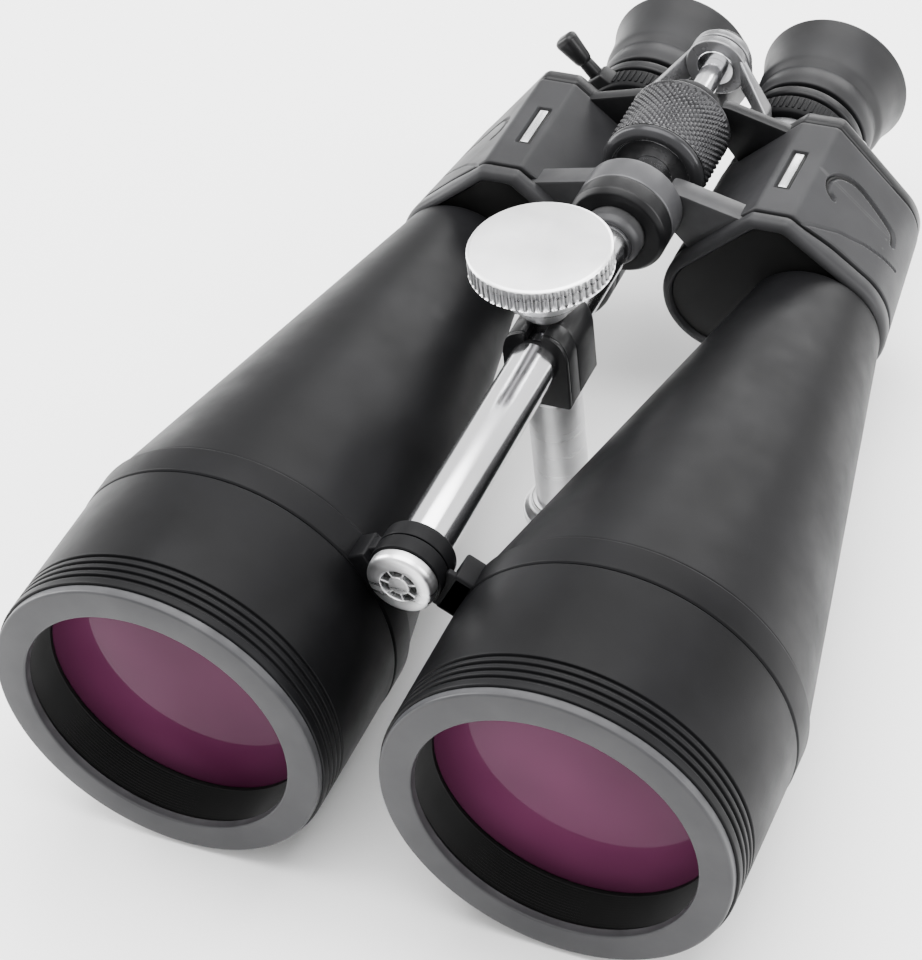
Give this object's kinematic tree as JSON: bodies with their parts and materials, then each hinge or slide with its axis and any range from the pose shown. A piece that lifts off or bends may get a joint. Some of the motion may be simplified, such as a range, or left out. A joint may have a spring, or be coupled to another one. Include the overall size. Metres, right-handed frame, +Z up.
{
  "type": "binoculars",
  "caption": "Large Porro-prism zoom binoculars with folding barrels, center focus wheel, zoom lever and a sliding tripod adapter on a braced rod.",
  "frame": {"origin": "centre of the bounding box's bottom face: under the hinge plane, halfway along the length, where the barrels' lowest points touch the surface", "axes": "+X to the user's left (right when seen from the objectives), +Y from the objectives to the eyepieces, +Z up"},
  "size_m": [0.2212, 0.338, 0.1191],
  "materials": {
    "black_armour": "satin moulded rubber armour",
    "gray_armour": "soft gray-black rubber armour with a fine grain",
    "gray_rim": "satin mid-gray paint",
    "inner_black": "flat anti-reflection black",
    "coated_glass": "polished, magenta-violet coating",
    "clear_glass": "polished",
    "black_metal": "fine matt black paint",
    "cast_metal": "plain die casting",
    "bright_steel": "bright plated",
    "chrome": "polished chrome",
    "bright_aluminium": "bright turned aluminium",
    "satin_metal": "satin anodised gray",
    "knurled_black": "diamond-knurled dark gray",
    "eyecup_rubber": "soft matt black rubber",
    "badge_silver": "brushed blank plate"
  },
  "bodies": {
    "center": {"tripod_rod": "chrome", "rod_end_cap": "bright_steel", "hinge_shaft": "satin_metal", "hinge_nose": "black_metal", "shaft_circlip": "bright_steel"},
    "left_half": {"left_objective_rim": "gray_rim", "left_objective_hood": "black_armour", "left_lens_ring": "inner_black", "left_objective_cell": "inner_black", "left_objective_lens": "coated_glass", "left_barrel": "black_armour", "left_brace": "black_metal", "left_front_cover": "gray_armour", "left_housing": "gray_armour", "left_prisms": "clear_glass", "left_prism_shelf": "cast_metal", "left_rear_cover": "gray_armour", "left_cover_screws": "bright_steel", "left_badge": "badge_silver"},
    "right_half": {"right_objective_rim": "gray_rim", "right_objective_hood": "black_armour", "right_lens_ring": "inner_black", "right_objective_cell": "inner_black", "right_objective_lens": "coated_glass", "right_barrel": "black_armour", "right_brace": "black_metal", "right_front_cover": "gray_armour", "right_housing": "gray_armour", "right_prisms": "clear_glass", "right_prism_shelf": "cast_metal", "right_rear_cover": "gray_armour", "right_cover_screws": "bright_steel", "right_badge": "badge_silver"},
    "focus_wheel": {"focus_wheel": "knurled_black"},
    "bridge": {"bridge_hub": "bright_steel", "focus_screw": "bright_steel"},
    "left_eyepiece": {"left_eyepiece_tube": "satin_metal", "left_bridge_arm": "black_metal", "left_ocular_collar": "black_metal", "left_ocular_tube": "inner_black", "left_eye_lens": "clear_glass", "left_eyecup": "eyecup_rubber"},
    "right_eyepiece": {"right_eyepiece_tube": "satin_metal", "right_bridge_arm": "black_metal"},
    "right_diopter": {"right_diopter_ring": "black_metal"},
    "right_ocular": {"right_ocular_tube": "inner_black", "right_eye_lens": "clear_glass", "right_eyecup": "eyecup_rubber"},
    "left_zoom": {"left_zoom_ring": "black_armour"},
    "right_zoom": {"right_zoom_ring": "black_armour", "zoom_lever": "black_metal"},
    "left_zoom_cell": {"left_zoom_cell": "inner_black"},
    "right_zoom_cell": {"right_zoom_cell": "inner_black"},
    "adapter_liner": {"clamp_liner": "cast_metal"},
    "adapter": {"clamp_block": "black_metal", "tripod_post": "bright_aluminium", "tripod_foot": "bright_aluminium"},
    "clamp_knob": {"clamp_knob": "bright_aluminium", "clamp_screw": "bright_steel"}
  },
  "joints": [
    {"name": "left_fold", "type": "hinge", "parent": "center", "child": "left_half", "pos_m": [0, 0, 0.0838], "axis": [0, -1, 0], "range_deg": [0, 21.5]},
    {"name": "right_fold", "type": "hinge", "parent": "center", "child": "right_half", "pos_m": [0, 0, 0.0838], "axis": [0, 1, 0], "range_deg": [0, 21.5]},
    {"name": "focus_turn", "type": "hinge", "parent": "center", "child": "focus_wheel", "pos_m": [0, 0, 0.0838], "axis": [0, 1, 0], "range_deg": [-225, 225]},
    {"name": "bridge_slide", "type": "slide", "parent": "center", "child": "bridge", "axis": [0, 1, 0], "range_m": [-0.004, 0.004]},
    {"name": "left_focus", "type": "slide", "parent": "left_half", "child": "left_eyepiece", "axis": [0, 1, 0], "range_m": [-0.004, 0.004]},
    {"name": "right_focus", "type": "slide", "parent": "right_half", "child": "right_eyepiece", "axis": [0, 1, 0], "range_m": [-0.004, 0.004]},
    {"name": "zoom_turn", "type": "hinge", "parent": "right_eyepiece", "child": "right_zoom", "pos_m": [-0.0275, 0, 0.0553], "axis": [0, 1, 0], "range_deg": [0, 45]},
    {"name": "left_zoom_turn", "type": "hinge", "parent": "left_eyepiece", "child": "left_zoom", "pos_m": [0.0275, 0, 0.0553], "axis": [0, 1, 0], "range_deg": [0, 45]},
    {"name": "right_zoom_travel", "type": "slide", "parent": "right_eyepiece", "child": "right_zoom_cell", "axis": [0, 1, 0], "range_m": [0, 0.00486]},
    {"name": "left_zoom_travel", "type": "slide", "parent": "left_eyepiece", "child": "left_zoom_cell", "axis": [0, 1, 0], "range_m": [0, 0.00486]},
    {"name": "diopter_turn", "type": "hinge", "parent": "right_eyepiece", "child": "right_diopter", "pos_m": [-0.0275, 0, 0.0553], "axis": [0, 1, 0], "range_deg": [-70, 70]},
    {"name": "ocular_travel", "type": "slide", "parent": "right_eyepiece", "child": "right_ocular", "axis": [0, 1, 0], "range_m": [-0.0015, 0.0015]},
    {"name": "adapter_slide", "type": "slide", "parent": "center", "child": "adapter_liner", "axis": [0, 1, 0], "range_m": [-0.045, 0.03]},
    {"name": "adapter_swing", "type": "hinge", "parent": "adapter_liner", "child": "adapter", "pos_m": [0, -0.0185, 0.0838], "axis": [0, 1, 0], "range_deg": [-8, 8]},
    {"name": "knob_turn", "type": "hinge", "parent": "adapter", "child": "clamp_knob", "pos_m": [0, -0.0185, 0.0838], "axis": [0, 0, 1], "continuous": true}
  ],
  "couplings": [
    {"joint": "right_fold", "follows": "left_fold", "ratio": 1},
    {"joint": "focus_turn", "follows": "bridge_slide", "rad_per_m": 981.7},
    {"joint": "left_focus", "follows": "bridge_slide", "ratio": 1},
    {"joint": "right_focus", "follows": "bridge_slide", "ratio": 1},
    {"joint": "zoom_turn", "follows": "right_zoom_travel", "rad_per_m": 161.3},
    {"joint": "left_zoom_turn", "follows": "right_zoom_travel", "rad_per_m": 161.3},
    {"joint": "left_zoom_travel", "follows": "right_zoom_travel", "ratio": 1},
    {"joint": "ocular_travel", "follows": "diopter_turn", "m_per_rad": 0.00122}
  ]
}
